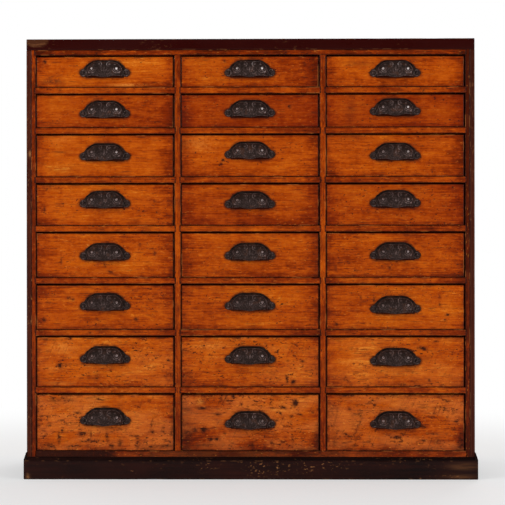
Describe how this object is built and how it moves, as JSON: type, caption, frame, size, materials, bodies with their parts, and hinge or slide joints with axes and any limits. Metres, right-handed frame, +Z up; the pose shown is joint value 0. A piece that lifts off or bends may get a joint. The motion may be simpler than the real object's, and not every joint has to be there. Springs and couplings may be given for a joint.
{
  "type": "haberdashery cabinet",
  "caption": "Freestanding shop cabinet of small drawers that deepen towards the floor, each with a cast-iron cup pull, in a dark timber case on a low plinth.",
  "frame": {"origin": "on the floor, in the middle of the footprint with the pulls included", "axes": "+X to the right as one faces the drawers, +Y from the drawers to the back, +Z up"},
  "size_m": [0.9094, 0.401, 0.882],
  "materials": {
    "dark_case": "dark mahogany stain under worn shellac",
    "frame_wood": "stained and shellacked, grimy",
    "drawer_wood": "orange-brown shellac over open grain",
    "plain_pine": "bare, aged",
    "black_iron": "blackened, rubbed bright on the high spots",
    "nail_iron": "dull, oxidised"
  },
  "bodies": {
    "case": {"top_board": "dark_case", "left_side_panel": "dark_case", "right_side_panel": "dark_case", "plinth_boards": "dark_case", "base_moulding": "dark_case", "bottom_board": "frame_wood", "uprights": "frame_wood", "drawer_rails": "frame_wood", "runners_and_stops": "plain_pine", "back_boards": "plain_pine", "plinth_backing": "plain_pine", "back_nails": "nail_iron"},
    "drawer_1_left_body": {"drawer_1_left": "drawer_wood", "cup_pull_1_left": "black_iron"},
    "drawer_1_middle_body": {"drawer_1_middle": "drawer_wood", "cup_pull_1_middle": "black_iron"},
    "drawer_1_right_body": {"drawer_1_right": "drawer_wood", "cup_pull_1_right": "black_iron"},
    "drawer_2_left_body": {"drawer_2_left": "drawer_wood", "cup_pull_2_left": "black_iron"},
    "drawer_2_middle_body": {"drawer_2_middle": "drawer_wood", "cup_pull_2_middle": "black_iron"},
    "drawer_2_right_body": {"drawer_2_right": "drawer_wood", "cup_pull_2_right": "black_iron"},
    "drawer_3_left_body": {"drawer_3_left": "drawer_wood", "cup_pull_3_left": "black_iron"},
    "drawer_3_middle_body": {"drawer_3_middle": "drawer_wood", "cup_pull_3_middle": "black_iron"},
    "drawer_3_right_body": {"drawer_3_right": "drawer_wood", "cup_pull_3_right": "black_iron"},
    "drawer_4_left_body": {"drawer_4_left": "drawer_wood", "cup_pull_4_left": "black_iron"},
    "drawer_4_middle_body": {"drawer_4_middle": "drawer_wood", "cup_pull_4_middle": "black_iron"},
    "drawer_4_right_body": {"drawer_4_right": "drawer_wood", "cup_pull_4_right": "black_iron"},
    "drawer_5_left_body": {"drawer_5_left": "drawer_wood", "cup_pull_5_left": "black_iron"},
    "drawer_5_middle_body": {"drawer_5_middle": "drawer_wood", "cup_pull_5_middle": "black_iron"},
    "drawer_5_right_body": {"drawer_5_right": "drawer_wood", "cup_pull_5_right": "black_iron"},
    "drawer_6_left_body": {"drawer_6_left": "drawer_wood", "cup_pull_6_left": "black_iron"},
    "drawer_6_middle_body": {"drawer_6_middle": "drawer_wood", "cup_pull_6_middle": "black_iron"},
    "drawer_6_right_body": {"drawer_6_right": "drawer_wood", "cup_pull_6_right": "black_iron"},
    "drawer_7_left_body": {"drawer_7_left": "drawer_wood", "cup_pull_7_left": "black_iron"},
    "drawer_7_middle_body": {"drawer_7_middle": "drawer_wood", "cup_pull_7_middle": "black_iron"},
    "drawer_7_right_body": {"drawer_7_right": "drawer_wood", "cup_pull_7_right": "black_iron"},
    "drawer_8_left_body": {"drawer_8_left": "drawer_wood", "cup_pull_8_left": "black_iron"},
    "drawer_8_middle_body": {"drawer_8_middle": "drawer_wood", "cup_pull_8_middle": "black_iron"},
    "drawer_8_right_body": {"drawer_8_right": "drawer_wood", "cup_pull_8_right": "black_iron"}
  },
  "joints": [
    {"name": "drawer_1_left_slide", "type": "slide", "parent": "case", "child": "drawer_1_left_body", "axis": [0, -1, 0], "range_m": [0, 0.27]},
    {"name": "drawer_1_middle_slide", "type": "slide", "parent": "case", "child": "drawer_1_middle_body", "axis": [0, -1, 0], "range_m": [0, 0.27]},
    {"name": "drawer_1_right_slide", "type": "slide", "parent": "case", "child": "drawer_1_right_body", "axis": [0, -1, 0], "range_m": [0, 0.27]},
    {"name": "drawer_2_left_slide", "type": "slide", "parent": "case", "child": "drawer_2_left_body", "axis": [0, -1, 0], "range_m": [0, 0.27]},
    {"name": "drawer_2_middle_slide", "type": "slide", "parent": "case", "child": "drawer_2_middle_body", "axis": [0, -1, 0], "range_m": [0, 0.27]},
    {"name": "drawer_2_right_slide", "type": "slide", "parent": "case", "child": "drawer_2_right_body", "axis": [0, -1, 0], "range_m": [0, 0.27]},
    {"name": "drawer_3_left_slide", "type": "slide", "parent": "case", "child": "drawer_3_left_body", "axis": [0, -1, 0], "range_m": [0, 0.27]},
    {"name": "drawer_3_middle_slide", "type": "slide", "parent": "case", "child": "drawer_3_middle_body", "axis": [0, -1, 0], "range_m": [0, 0.27]},
    {"name": "drawer_3_right_slide", "type": "slide", "parent": "case", "child": "drawer_3_right_body", "axis": [0, -1, 0], "range_m": [0, 0.27]},
    {"name": "drawer_4_left_slide", "type": "slide", "parent": "case", "child": "drawer_4_left_body", "axis": [0, -1, 0], "range_m": [0, 0.27]},
    {"name": "drawer_4_middle_slide", "type": "slide", "parent": "case", "child": "drawer_4_middle_body", "axis": [0, -1, 0], "range_m": [0, 0.27]},
    {"name": "drawer_4_right_slide", "type": "slide", "parent": "case", "child": "drawer_4_right_body", "axis": [0, -1, 0], "range_m": [0, 0.27]},
    {"name": "drawer_5_left_slide", "type": "slide", "parent": "case", "child": "drawer_5_left_body", "axis": [0, -1, 0], "range_m": [0, 0.27]},
    {"name": "drawer_5_middle_slide", "type": "slide", "parent": "case", "child": "drawer_5_middle_body", "axis": [0, -1, 0], "range_m": [0, 0.27]},
    {"name": "drawer_5_right_slide", "type": "slide", "parent": "case", "child": "drawer_5_right_body", "axis": [0, -1, 0], "range_m": [0, 0.27]},
    {"name": "drawer_6_left_slide", "type": "slide", "parent": "case", "child": "drawer_6_left_body", "axis": [0, -1, 0], "range_m": [0, 0.27]},
    {"name": "drawer_6_middle_slide", "type": "slide", "parent": "case", "child": "drawer_6_middle_body", "axis": [0, -1, 0], "range_m": [0, 0.27]},
    {"name": "drawer_6_right_slide", "type": "slide", "parent": "case", "child": "drawer_6_right_body", "axis": [0, -1, 0], "range_m": [0, 0.27]},
    {"name": "drawer_7_left_slide", "type": "slide", "parent": "case", "child": "drawer_7_left_body", "axis": [0, -1, 0], "range_m": [0, 0.27]},
    {"name": "drawer_7_middle_slide", "type": "slide", "parent": "case", "child": "drawer_7_middle_body", "axis": [0, -1, 0], "range_m": [0, 0.27]},
    {"name": "drawer_7_right_slide", "type": "slide", "parent": "case", "child": "drawer_7_right_body", "axis": [0, -1, 0], "range_m": [0, 0.27]},
    {"name": "drawer_8_left_slide", "type": "slide", "parent": "case", "child": "drawer_8_left_body", "axis": [0, -1, 0], "range_m": [0, 0.27]},
    {"name": "drawer_8_middle_slide", "type": "slide", "parent": "case", "child": "drawer_8_middle_body", "axis": [0, -1, 0], "range_m": [0, 0.27]},
    {"name": "drawer_8_right_slide", "type": "slide", "parent": "case", "child": "drawer_8_right_body", "axis": [0, -1, 0], "range_m": [0, 0.27]}
  ]
}
